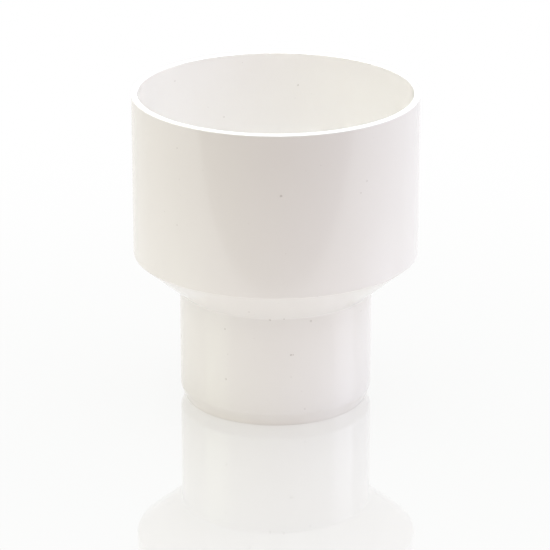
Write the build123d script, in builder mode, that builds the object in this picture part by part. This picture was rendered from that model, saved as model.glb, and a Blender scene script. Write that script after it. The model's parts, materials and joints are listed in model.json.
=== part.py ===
from build123d import *
import math
import os

# A duct reducer, moulded in one piece and round about the Z axis. It stands on the end of its spigot,
# with the large end up and open. The origin is the centre of the foot. All sizes are in millimetres.

# Large end, a plain straight collar
large_end_diameter = 148.0  # outside
large_end_length = 85.5  # from the edge of the shoulder up to the rim

# Spigot, the small end that stands on the floor
spigot_diameter = 100.0  # outside
spigot_length = 59.5  # from the foot up to the cone
lead_in_length = 6.4  # height of the taper that guides the spigot into a duct
foot_thickness = 0.6  # what the taper leaves of the wall at the foot

# Cone under the shoulder, which joins the two ends
cone_height = 20.0

# Wall, the same thickness in both ends and in the cone
wall = 3.2

# Rounds on the edges of the wall's section
foot_round = 0.2
lead_in_round = 6.0
neck_round = 2.0
shoulder_round = 1.4
rim_outer_round = 0.8
rim_inner_round = 0.5
bore_floor_round = 1.5
throat_round = 2.0

# Radii and heights that follow from the sizes above
large_radius = large_end_diameter / 2
large_bore_radius = large_radius - wall
spigot_radius = spigot_diameter / 2
spigot_bore_radius = spigot_radius - wall
foot_radius = spigot_bore_radius + foot_thickness
shoulder_height = spigot_length + cone_height
overall_height = shoulder_height + large_end_length

# The cone's inner face is parallel to its outer face, so the inner corners stand a little higher.
cone_angle = math.atan2(cone_height, large_radius - spigot_radius)
inner_corner_rise = wall * math.tan((math.pi / 2 - cone_angle) / 2)
throat_height = spigot_length + inner_corner_rise
bore_floor_height = shoulder_height + inner_corner_rise

# Corners of the wall's section, each with its radius from the axis, its height and its edge round.
# They run from the foot up the outside to the rim, and down the inside.
section_corners = [
    (spigot_bore_radius, 0, foot_round),
    (foot_radius, 0, foot_round),
    (spigot_radius, lead_in_length, lead_in_round),
    (spigot_radius, spigot_length, neck_round),
    (large_radius, shoulder_height, shoulder_round),
    (large_radius, overall_height, rim_outer_round),
    (large_bore_radius, overall_height, rim_inner_round),
    (large_bore_radius, bore_floor_height, bore_floor_round),
    (spigot_bore_radius, throat_height, throat_round),
]
section_points = [(radius, height) for radius, height, edge_round in section_corners]
section_rounds = [edge_round for radius, height, edge_round in section_corners]

with BuildPart() as reducer:
    with BuildSketch(Plane.XZ):
        with BuildLine():
            FilletPolyline(*section_points, radius=section_rounds, close=True)
        make_face()
    revolve(axis=Axis.Z)
reducer.part.label = "reducer_body"

os.makedirs("parts", exist_ok=True)
export_step(reducer.part, "parts/reducer_body.step")
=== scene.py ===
import json
import math

import bpy
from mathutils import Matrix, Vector
from mathutils.bvhtree import BVHTree


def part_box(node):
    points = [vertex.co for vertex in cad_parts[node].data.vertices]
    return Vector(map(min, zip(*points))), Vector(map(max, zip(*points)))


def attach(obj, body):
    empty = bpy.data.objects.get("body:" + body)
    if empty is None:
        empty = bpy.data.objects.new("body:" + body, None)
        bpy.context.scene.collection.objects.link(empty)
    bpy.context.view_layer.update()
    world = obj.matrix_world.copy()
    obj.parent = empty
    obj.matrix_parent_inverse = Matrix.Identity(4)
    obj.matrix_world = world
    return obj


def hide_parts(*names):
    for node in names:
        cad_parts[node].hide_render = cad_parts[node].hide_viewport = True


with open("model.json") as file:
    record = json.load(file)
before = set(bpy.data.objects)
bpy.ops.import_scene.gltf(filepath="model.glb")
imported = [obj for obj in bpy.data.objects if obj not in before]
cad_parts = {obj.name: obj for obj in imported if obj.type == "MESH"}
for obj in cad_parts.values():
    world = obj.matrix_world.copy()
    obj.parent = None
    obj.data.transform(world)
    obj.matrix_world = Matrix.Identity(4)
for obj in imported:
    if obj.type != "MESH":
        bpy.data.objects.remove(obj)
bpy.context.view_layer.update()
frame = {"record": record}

# A white duct reducer, moulded in one piece, standing on its spigot on a glossy pale floor.
# The frame is the CAD model's own: metres, +Z up the duct's axis, the origin at the centre of the foot.

BODY_NODE = "reducer_body"
WHITE = (1, 1, 1, 1)

# Radii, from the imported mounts
mounts = {mount["name"]: mount for mount in frame["record"]["mounts"]}


def mount_radius(name):
    """Radius of a round mount, in metres."""
    return mounts[name]["dims"]["r_mm"] / 1000


LARGE_RADIUS = mount_radius("large_end_outside")
LARGE_BORE_RADIUS = mount_radius("large_end_bore")
SPIGOT_RADIUS = mount_radius("spigot_outside")
SPIGOT_BORE_RADIUS = mount_radius("spigot_bore")
WALL = SPIGOT_RADIUS - SPIGOT_BORE_RADIUS
FOOT_THICKNESS = 0.0006  # what the lead-in taper leaves of the wall at the foot

# Heights above the floor
RIM_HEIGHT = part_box(BODY_NODE)[1].z
LEAD_IN_HEIGHT = 0.0064  # where the lead-in taper meets the spigot's full diameter
NECK_HEIGHT = 0.0595  # where the spigot meets the cone
SHOULDER_HEIGHT = 0.0795  # where the cone meets the large end

# The cone's inner face is parallel to its outer face, so the inner corners stand a little higher.
CONE_ANGLE = math.atan2(SHOULDER_HEIGHT - NECK_HEIGHT, LARGE_RADIUS - SPIGOT_RADIUS)
INNER_CORNER_RISE = WALL * math.tan((math.pi / 2 - CONE_ANGLE) / 2)

# Sizes of the wall's section, in metres
SECTION_SIZES = {
    "Large Radius": LARGE_RADIUS,
    "Large Bore Radius": LARGE_BORE_RADIUS,
    "Spigot Radius": SPIGOT_RADIUS,
    "Spigot Bore Radius": SPIGOT_BORE_RADIUS,
    "Foot Radius": SPIGOT_BORE_RADIUS + FOOT_THICKNESS,
    "Foot Height": 0.0,
    "Lead-in Height": LEAD_IN_HEIGHT,
    "Neck Height": NECK_HEIGHT,
    "Shoulder Height": SHOULDER_HEIGHT,
    "Rim Height": RIM_HEIGHT,
    "Bore Floor Height": SHOULDER_HEIGHT + INNER_CORNER_RISE,
    "Throat Height": NECK_HEIGHT + INNER_CORNER_RISE,
    "Foot Round": 0.0002,
    "Lead-in Round": 0.006,
    "Neck Round": 0.002,
    "Shoulder Round": 0.0014,
    "Rim Outer Round": 0.0008,
    "Rim Inner Round": 0.0005,
    "Bore Floor Round": 0.0015,
    "Throat Round": 0.002,
}

# Corners of the section, each by its radius, height and edge round: from the foot up the outside to the
# rim, and down the inside
SECTION_CORNERS = [
    ("Spigot Bore Radius", "Foot Height", "Foot Round"),
    ("Foot Radius", "Foot Height", "Foot Round"),
    ("Spigot Radius", "Lead-in Height", "Lead-in Round"),
    ("Spigot Radius", "Neck Height", "Neck Round"),
    ("Large Radius", "Shoulder Height", "Shoulder Round"),
    ("Large Radius", "Rim Height", "Rim Outer Round"),
    ("Large Bore Radius", "Rim Height", "Rim Inner Round"),
    ("Large Bore Radius", "Bore Floor Height", "Bore Floor Round"),
    ("Spigot Bore Radius", "Throat Height", "Throat Round"),
]
STEPS_AROUND = 192
STEPS_PER_ROUND = 7

# Camera, at the photograph's viewing angle
PHOTO_PIXELS = 550
SENSOR_WIDTH = 36.0  # millimetres
LENS = 216.45  # millimetres
CAMERA_DISTANCE = 1.72485
CAMERA_PITCH = math.radians(20.117)  # looking down
CAMERA_AIM = Vector((-0.0004, 0.0, 0.0651))

# Places of a Mix node's colour sockets, which share their names with its sockets for numbers
MIX_FACTOR = 0
MIX_FIRST = 6
MIX_SECOND = 7
MIX_RESULT = 2


# Nodes that more than one tree uses

def add_node(tree, kind, **settings):
    """A new node of that kind, with its properties set."""
    node = tree.nodes.new(kind)
    for name, value in settings.items():
        setattr(node, name, value)
    return node


def feed(tree, socket, value):
    """Links an output socket to the input socket, or sets the input to a plain value."""
    if isinstance(value, bpy.types.NodeSocket):
        tree.links.new(value, socket)
    else:
        socket.default_value = value


def calculate(tree, operation, *values, clamp=False):
    """The result of a Math node on sockets or numbers."""
    node = add_node(tree, "ShaderNodeMath", operation=operation, use_clamp=clamp)
    for socket, value in zip(node.inputs, values):
        feed(tree, socket, value)
    return node.outputs["Value"]


def blend(tree, factor, first, second):
    """The colour between two colours, by a Mix node."""
    node = add_node(tree, "ShaderNodeMix", data_type="RGBA")
    feed(tree, node.inputs[MIX_FACTOR], factor)
    feed(tree, node.inputs[MIX_FIRST], first)
    feed(tree, node.inputs[MIX_SECOND], second)
    return node.outputs[MIX_RESULT]


def ease(tree, value, nothing_at, full_at):
    """A smooth change from 0, where the value is at the first limit, to 1, where it is at the second."""
    node = add_node(tree, "ShaderNodeMapRange", interpolation_type="SMOOTHSTEP")
    feed(tree, node.inputs["Value"], value)
    node.inputs["From Min"].default_value = nothing_at
    node.inputs["From Max"].default_value = full_at
    return node.outputs["Result"]


def ray_masks(tree):
    """Masks of the rays that make mirror images, and of these with the camera's own rays."""
    rays = add_node(tree, "ShaderNodeLightPath").outputs
    mirrored = calculate(tree, "MAXIMUM", rays["Is Glossy Ray"], rays["Is Transmission Ray"])
    seen = calculate(tree, "MAXIMUM", rays["Is Camera Ray"], mirrored)
    return {"mirrored": mirrored, "seen": seen}


# The reducer's body

def build_lathe_tree():
    """Geometry Nodes that round the section's corners and turn it about the duct's axis."""
    tree = bpy.data.node_groups.new("reducer lathe", "GeometryNodeTree")
    tree.is_modifier = True
    for name in SECTION_SIZES:
        socket = tree.interface.new_socket(name, in_out="INPUT", socket_type="NodeSocketFloat")
        socket.subtype = "DISTANCE"
    for name in ("Steps Around", "Steps per Round"):
        tree.interface.new_socket(name, in_out="INPUT", socket_type="NodeSocketInt")
    tree.interface.new_socket("Material", in_out="INPUT", socket_type="NodeSocketMaterial")
    tree.interface.new_socket("Geometry", in_out="OUTPUT", socket_type="NodeSocketGeometry")
    sizes = add_node(tree, "NodeGroupInput").outputs

    # The turning circle has the spigot's bore radius, and the section's points are set out from it. On a
    # circle that lies flat the section's Y points down, so the heights change sign.
    index = add_node(tree, "GeometryNodeInputIndex").outputs["Index"]
    corner_place = add_node(tree, "GeometryNodeIndexSwitch", data_type="VECTOR")
    corner_round = add_node(tree, "GeometryNodeIndexSwitch", data_type="FLOAT")
    for switch in (corner_place, corner_round):
        while len(switch.index_switch_items) < len(SECTION_CORNERS):
            switch.index_switch_items.new()
        tree.links.new(index, switch.inputs["Index"])
    for number, (radius, height, edge_round) in enumerate(SECTION_CORNERS):
        outward = calculate(tree, "SUBTRACT", sizes[radius], sizes["Spigot Bore Radius"])
        downward = calculate(tree, "MULTIPLY", sizes[height], -1.0)
        place = add_node(tree, "ShaderNodeCombineXYZ")
        tree.links.new(outward, place.inputs["X"])
        tree.links.new(downward, place.inputs["Y"])
        tree.links.new(place.outputs["Vector"], corner_place.inputs[str(number)])
        tree.links.new(sizes[edge_round], corner_round.inputs[str(number)])

    corners = add_node(tree, "GeometryNodeMeshLine")
    corners.inputs["Count"].default_value = len(SECTION_CORNERS)
    placed = add_node(tree, "GeometryNodeSetPosition")
    section = add_node(tree, "GeometryNodeMeshToCurve")
    closed = add_node(tree, "GeometryNodeSetSplineCyclic")
    closed.inputs["Cyclic"].default_value = True
    rounded = add_node(tree, "GeometryNodeFilletCurve", mode="POLY")
    circle = add_node(tree, "GeometryNodeCurvePrimitiveCircle")
    turned = add_node(tree, "GeometryNodeCurveToMesh")
    smooth = add_node(tree, "GeometryNodeSetShadeSmooth")
    real = add_node(tree, "GeometryNodeRealizeInstances")
    finished = add_node(tree, "GeometryNodeSetMaterial")
    result = add_node(tree, "NodeGroupOutput")

    tree.links.new(corners.outputs["Mesh"], placed.inputs["Geometry"])
    tree.links.new(corner_place.outputs["Output"], placed.inputs["Position"])
    tree.links.new(placed.outputs["Geometry"], section.inputs["Mesh"])
    tree.links.new(section.outputs["Curve"], closed.inputs["Geometry"])
    tree.links.new(closed.outputs["Geometry"], rounded.inputs["Curve"])
    tree.links.new(corner_round.outputs["Output"], rounded.inputs["Radius"])
    tree.links.new(sizes["Steps per Round"], rounded.inputs["Count"])
    tree.links.new(sizes["Steps Around"], circle.inputs["Resolution"])
    tree.links.new(sizes["Spigot Bore Radius"], circle.inputs["Radius"])
    tree.links.new(circle.outputs["Curve"], turned.inputs["Curve"])
    tree.links.new(rounded.outputs["Curve"], turned.inputs["Profile Curve"])
    tree.links.new(turned.outputs["Mesh"], smooth.inputs["Geometry"])
    tree.links.new(smooth.outputs["Geometry"], real.inputs["Geometry"])
    tree.links.new(real.outputs["Geometry"], finished.inputs["Geometry"])
    tree.links.new(sizes["Material"], finished.inputs["Material"])
    tree.links.new(finished.outputs["Geometry"], result.inputs["Geometry"])
    return tree


def turn_reducer_body(plastic):
    """The reducer as one plain mesh, with its long walls shaded straight up to their rounds."""
    blank = bpy.data.objects.new("lathe blank", bpy.data.meshes.new("lathe blank"))
    bpy.context.scene.collection.objects.link(blank)
    tree = build_lathe_tree()
    lathe = blank.modifiers.new("lathe", "NODES")
    lathe.node_group = tree
    settings = dict(SECTION_SIZES)
    settings["Steps Around"] = STEPS_AROUND
    settings["Steps per Round"] = STEPS_PER_ROUND
    settings["Material"] = plastic
    for item in tree.interface.items_tree:
        if item.in_out == "INPUT":
            lathe[item.identifier] = settings[item.name]
    blank.modifiers.new("straight walls", "WEIGHTED_NORMAL")

    depsgraph = bpy.context.evaluated_depsgraph_get()
    mesh = bpy.data.meshes.new_from_object(blank.evaluated_get(depsgraph))
    mesh.name = "moulded_reducer"
    bpy.data.objects.remove(blank)
    body = bpy.data.objects.new("moulded_reducer", mesh)
    bpy.context.scene.collection.objects.link(body)
    return body


# Finish of the plastic

PLASTIC_DEEP = (0.857, 0.842, 0.816, 1)
PLASTIC_PALE = (0.873, 0.858, 0.834, 1)
PLASTIC_IOR = 1.53
MOTTLE_SIZE = 0.03
SPECK_COLOUR = (0.3, 0.26, 0.22, 1)
SPECK_RAGGEDNESS = 0.0003  # how far a speck's outline strays
SPECK_CORE = 0.35  # share of a speck's radius that is fully dark
GRAIN_SIZE = 0.0016
GRAIN_HEIGHT = 0.000012
GLOSS_PATCH_SIZE = 0.012
ROUGHNESS_LEAST = 0.07
ROUGHNESS_MOST = 0.115

# The specks that the photograph shows, each with its pixel across and down, its radius in millimetres and
# its darkness
SEEN_SPECKS = [
    (281, 196, 0.85, 0.38),
    (177, 225, 0.60, 0.34),
    (177, 148, 0.45, 0.36),
    (367, 181, 0.75, 0.22),
    (361, 193, 0.46, 0.40),
    (298, 85, 0.65, 0.38),
    (224, 117, 0.45, 0.56),
    (175, 81, 0.50, 0.38),
    (270, 320, 0.80, 0.34),
    (225, 329, 0.56, 0.38),
    (226, 379, 0.70, 0.30),
    (249, 312, 0.60, 0.56),
    (291, 355, 0.58, 0.60),
    (293, 355, 0.50, 0.50),
    (311, 321, 0.80, 0.34),
    (284, 319, 0.64, 0.40),
    (291, 377, 0.50, 0.16),
    (199, 307, 0.40, 0.22),
    (361, 311, 0.50, 0.34),
    (305, 409, 0.60, 0.22),
]

# Fainter specks all over
FLECK_SPACING = 0.0075
FLECK_RADIUS = 0.00035
FLECK_DARKNESS = 0.2


def find_specks(body, camera):
    """Each speck's place on the wall, by a camera ray through its pixel, with its radius and darkness."""
    mesh = body.data
    walls = BVHTree.FromPolygons([v.co for v in mesh.vertices], [face.vertices for face in mesh.polygons])
    turn = camera.rotation_euler.to_matrix()
    specks = []
    for across, down, radius, darkness in SEEN_SPECKS:
        right = (across / PHOTO_PIXELS - 0.5) * SENSOR_WIDTH
        up = (0.5 - down / PHOTO_PIXELS) * SENSOR_WIDTH
        ray = turn @ Vector((right, up, -LENS))
        place = walls.ray_cast(camera.location, ray.normalized())[0]
        specks.append((place, radius / 1000, darkness))
    return specks


def build_speck_group():
    """A shader group that shades one soft dark speck round a centre."""
    group = bpy.data.node_groups.new("speck", "ShaderNodeTree")
    inputs = {"Place": "Vector", "Centre": "Vector", "Radius": "Float", "Darkness": "Float"}
    for name, kind in inputs.items():
        group.interface.new_socket(name, in_out="INPUT", socket_type="NodeSocket" + kind)
    group.interface.new_socket("Shade", in_out="OUTPUT", socket_type="NodeSocketFloat")
    given = add_node(group, "NodeGroupInput").outputs
    result = add_node(group, "NodeGroupOutput").inputs

    distance = add_node(group, "ShaderNodeVectorMath", operation="DISTANCE")
    group.links.new(given["Place"], distance.inputs[0])
    group.links.new(given["Centre"], distance.inputs[1])
    radii_away = calculate(group, "DIVIDE", distance.outputs["Value"], given["Radius"])
    soft_disc = ease(group, radii_away, 1.0, SPECK_CORE)
    group.links.new(calculate(group, "MULTIPLY", soft_disc, given["Darkness"]), result["Shade"])
    return group


def noise(tree, place, size, detail):
    """A noise texture whose blotches are about that size, in metres."""
    node = add_node(tree, "ShaderNodeTexNoise")
    tree.links.new(place, node.inputs["Vector"])
    node.inputs["Scale"].default_value = 1 / size
    node.inputs["Detail"].default_value = detail
    return node.outputs


def finish_plastic(material, specks):
    """Warm white moulded plastic: faintly mottled, with dark specks, uneven gloss and a very fine grain."""
    material.use_nodes = True
    tree = material.node_tree
    shader = tree.nodes["Principled BSDF"]
    shader.inputs["IOR"].default_value = PLASTIC_IOR
    place = add_node(tree, "ShaderNodeTexCoord").outputs["Object"]

    # Specks, with outlines made ragged by a noise in their coordinates
    ragged_noise = noise(tree, place, 2 * SPECK_RAGGEDNESS, detail=1)["Color"]
    stray = add_node(tree, "ShaderNodeVectorMath", operation="SUBTRACT")
    tree.links.new(ragged_noise, stray.inputs[0])
    stray.inputs[1].default_value = (0.5, 0.5, 0.5)  # the noise's middle
    ragged = add_node(tree, "ShaderNodeVectorMath", operation="MULTIPLY_ADD")
    tree.links.new(stray.outputs["Vector"], ragged.inputs[0])
    ragged.inputs[1].default_value = (2 * SPECK_RAGGEDNESS,) * 3
    tree.links.new(place, ragged.inputs[2])
    cells = add_node(tree, "ShaderNodeTexVoronoi")
    tree.links.new(ragged.outputs["Vector"], cells.inputs["Vector"])
    cells.inputs["Scale"].default_value = 1 / FLECK_SPACING
    group = build_speck_group()
    shade = 0.0
    flecks = (cells.outputs["Position"], FLECK_RADIUS, FLECK_DARKNESS)
    for centre, radius, darkness in [flecks] + specks:
        speck = add_node(tree, "ShaderNodeGroup", node_tree=group)
        tree.links.new(ragged.outputs["Vector"], speck.inputs["Place"])
        feed(tree, speck.inputs["Centre"], centre)
        speck.inputs["Radius"].default_value = radius
        speck.inputs["Darkness"].default_value = darkness
        shade = calculate(tree, "MAXIMUM", shade, speck.outputs["Shade"])

    mottle = noise(tree, place, MOTTLE_SIZE, detail=3)["Fac"]
    mottled = blend(tree, mottle, PLASTIC_DEEP, PLASTIC_PALE)
    tree.links.new(blend(tree, shade, mottled, SPECK_COLOUR), shader.inputs["Base Color"])

    gloss = add_node(tree, "ShaderNodeMapRange")
    tree.links.new(noise(tree, place, GLOSS_PATCH_SIZE, detail=4)["Fac"], gloss.inputs["Value"])
    gloss.inputs["To Min"].default_value = ROUGHNESS_LEAST
    gloss.inputs["To Max"].default_value = ROUGHNESS_MOST
    tree.links.new(gloss.outputs["Result"], shader.inputs["Roughness"])

    grain = add_node(tree, "ShaderNodeBump")
    tree.links.new(noise(tree, place, GRAIN_SIZE, detail=2)["Fac"], grain.inputs["Height"])
    grain.inputs["Distance"].default_value = GRAIN_HEIGHT
    tree.links.new(grain.outputs["Normal"], shader.inputs["Normal"])


# Camera

def place_camera():
    """The camera at the photograph's viewing angle."""
    data = bpy.data.cameras.new("photo camera")
    data.sensor_width = SENSOR_WIDTH
    data.lens = LENS
    camera = bpy.data.objects.new("photo camera", data)
    back = Vector((0, -math.cos(CAMERA_PITCH), math.sin(CAMERA_PITCH)))
    camera.location = CAMERA_AIM + CAMERA_DISTANCE * back
    camera.rotation_euler = (math.pi / 2 - CAMERA_PITCH, 0, 0)
    bpy.context.scene.collection.objects.link(camera)
    bpy.context.scene.camera = camera
    return camera


# Floor, a glossy sheet. To the light it is a bright mat with a dim room before and behind it, and the
# mat's front edge lies just outside the picture.
FLOOR_HALF_SIZE = 1.6
MAT_HALF_DEPTH = 0.29
FLOOR_CLEAR_FROM = 0.06  # distance from the axis where the floor starts to fade to plain white
FLOOR_CLEAR_TO = 0.5
FLOOR_PAINT = (0.68, 0.635, 0.6, 1)  # as it lights the object
FOOT_PAINTED_LIGHT = (0.95, 0.9, 0.86, 1)  # painted light: paler paint, used only for the light, in a narrow ring round the foot where the collar shades the floor, so that the floor lights the foot's taper more
FOOT_PAINTED_LIGHT_FROM = 0.0495  # distance from the axis where the ring starts to fade out
FOOT_PAINTED_LIGHT_TO = 0.0555
FLOOR_PAINT_SEEN = (0.5, 0.5, 0.485, 1)  # as the camera and mirror images see it
FLOOR_WHITE = (0.93, 0.935, 0.92, 1)  # what they see over the paint
FLOOR_WHITE_SHARE = 0.88  # the rest of what they see is lit paint, with the object's shadow
FLOOR_GLOSS = 4.0  # times a plain sheet's reflection
FLOOR_GLOSS_ROUGHNESS = 0.03
DIM_ROOM = (0.293, 0.262, 0.222, 1)  # what shines back from beyond the mat
MIRRORED_ROOM = (0.15, 0.12, 0.1, 1)  # the room before the mat, as the walls mirror it


def glow(tree, colour):
    """A shader that shines in that colour, at strength 1."""
    node = add_node(tree, "ShaderNodeEmission")
    feed(tree, node.inputs["Color"], colour)
    return node.outputs["Emission"]


def mix_shaders(tree, share, first, second):
    """The first shader with a share of the second."""
    node = add_node(tree, "ShaderNodeMixShader")
    feed(tree, node.inputs["Fac"], share)
    tree.links.new(first, node.inputs[1])
    tree.links.new(second, node.inputs[2])
    return node.outputs["Shader"]


def make_floor_finish():
    """Pale glossy floor that fades to plain white away from the object, with the dim room off the mat."""
    material = bpy.data.materials.new("pale glossy floor")
    material.use_nodes = True
    tree = material.node_tree
    tree.nodes.remove(tree.nodes["Principled BSDF"])
    rays = ray_masks(tree)
    place = add_node(tree, "ShaderNodeTexCoord").outputs["Object"]
    parts = add_node(tree, "ShaderNodeSeparateXYZ")
    tree.links.new(place, parts.inputs["Vector"])
    depth = parts.outputs["Y"]
    length = add_node(tree, "ShaderNodeVectorMath", operation="LENGTH")
    tree.links.new(place, length.inputs[0])
    distance = length.outputs["Value"]

    # Paint, with a ring of painted light round the foot where the object shades the floor, under the white
    near_foot = ease(tree, distance, FOOT_PAINTED_LIGHT_TO, FOOT_PAINTED_LIGHT_FROM)
    outside_bore = calculate(tree, "GREATER_THAN", distance, SPIGOT_BORE_RADIUS)
    painted_light_ring = calculate(tree, "MULTIPLY", near_foot, outside_bore)
    lit_paint = blend(tree, painted_light_ring, FLOOR_PAINT, FOOT_PAINTED_LIGHT)
    paint = add_node(tree, "ShaderNodeBsdfDiffuse")
    tree.links.new(blend(tree, rays["seen"], lit_paint, FLOOR_PAINT_SEEN), paint.inputs["Color"])
    white_share = calculate(tree, "MULTIPLY", rays["seen"], FLOOR_WHITE_SHARE)
    shaded = mix_shaders(tree, white_share, paint.outputs["BSDF"], glow(tree, FLOOR_WHITE))

    # Gloss, stronger at low angles
    gloss = add_node(tree, "ShaderNodeBsdfGlossy")
    gloss.inputs["Color"].default_value = WHITE
    gloss.inputs["Roughness"].default_value = FLOOR_GLOSS_ROUGHNESS
    fresnel = add_node(tree, "ShaderNodeFresnel").outputs["Fac"]
    gloss_share = calculate(tree, "MULTIPLY", fresnel, FLOOR_GLOSS, clamp=True)
    sheet = mix_shaders(tree, gloss_share, shaded, gloss.outputs["BSDF"])

    # Plain white away from the object
    away = ease(tree, distance, FLOOR_CLEAR_FROM, FLOOR_CLEAR_TO)
    clear_share = calculate(tree, "MULTIPLY", rays["seen"], away)
    clear = mix_shaders(tree, clear_share, sheet, glow(tree, WHITE))

    # The dim room, which lights the object from before and behind the mat, and is mirrored from before it
    unseen = calculate(tree, "SUBTRACT", 1.0, rays["seen"])
    off_mat = calculate(tree, "GREATER_THAN", calculate(tree, "ABSOLUTE", depth), MAT_HALF_DEPTH)
    before_mat = calculate(tree, "LESS_THAN", depth, -MAT_HALF_DEPTH)
    room_lights = calculate(tree, "MULTIPLY", off_mat, unseen)
    room_mirrored = calculate(tree, "MULTIPLY", before_mat, rays["mirrored"])
    room_share = calculate(tree, "MAXIMUM", room_lights, room_mirrored)
    room = glow(tree, blend(tree, rays["mirrored"], DIM_ROOM, MIRRORED_ROOM))
    around = mix_shaders(tree, room_share, clear, room)
    tree.links.new(around, tree.nodes["Material Output"].inputs["Surface"])
    return material


def lay_floor():
    """The sheet that the reducer stands on."""
    half = FLOOR_HALF_SIZE
    corners = [(-half, -half, 0), (half, -half, 0), (half, half, 0), (-half, half, 0)]
    mesh = bpy.data.meshes.new("floor")
    mesh.from_pydata(corners, [], [(0, 1, 2, 3)])
    mesh.materials.append(make_floor_finish())
    floor = bpy.data.objects.new("floor", mesh)
    bpy.context.scene.collection.objects.link(floor)


# Light
DAYLIGHT = (0.692, 0.62, 0.605, 1)  # the even light all round
LIGHT_BOUNCES = 12  # light passes many times between the white walls inside
LAMP_DISTANCE = 1.35

# Soft studio lamps, each with its name, azimuth and elevation in degrees, width, height, watts and colour.
# Azimuth 0 is the camera's side, and 90 the right.
LAMPS = [
    ("lamp above", 0, 90, 0.8, 0.8, 20.7, (0.87, 0.95, 1.0)),
    ("lamp left", -75, 38, 0.8, 1.3, 2.73, (0.86, 1.0, 0.67)),
    ("lamp right", 90, 55, 0.9, 0.9, 3.52, (0.56, 0.73, 1.0)),
    ("lamp right, low", 90, 22, 0.7, 0.9, 2.1, (0.8, 0.83, 1.0)),
]


def hang_lamp(name, azimuth, elevation, width, height, watts, colour):
    """A rectangular soft lamp that faces the middle of the reducer."""
    turn = math.radians(azimuth)
    rise = math.radians(elevation)
    outward = Vector((math.sin(turn) * math.cos(rise), -math.cos(turn) * math.cos(rise), math.sin(rise)))
    data = bpy.data.lights.new(name, "AREA")
    data.shape = "RECTANGLE"
    data.size = width
    data.size_y = height
    data.energy = watts
    data.color = colour
    lamp = bpy.data.objects.new(name, data)
    lamp.location = Vector((0, 0, RIM_HEIGHT / 2)) + LAMP_DISTANCE * outward
    lamp.rotation_euler = outward.to_track_quat("Z", "Y").to_euler()
    bpy.context.scene.collection.objects.link(lamp)


def light_room():
    """An even room, seen as plain white, with a soft lamp above and others at the sides."""
    world = bpy.data.worlds.new("white room")
    bpy.context.scene.world = world
    world.use_nodes = True
    tree = world.node_tree
    seen = ray_masks(tree)["seen"]
    tree.links.new(blend(tree, seen, DAYLIGHT, WHITE), tree.nodes["Background"].inputs["Color"])
    for lamp in LAMPS:
        hang_lamp(*lamp)


# The scene
bpy.context.scene.cycles.diffuse_bounces = LIGHT_BOUNCES
bpy.context.scene.view_settings.view_transform = "Standard"
camera = place_camera()
plastic = bpy.data.materials.new("warm white plastic")
body = turn_reducer_body(plastic)
finish_plastic(plastic, find_specks(body, camera))
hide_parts(BODY_NODE)
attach(body, "root")
lay_floor()
light_room()
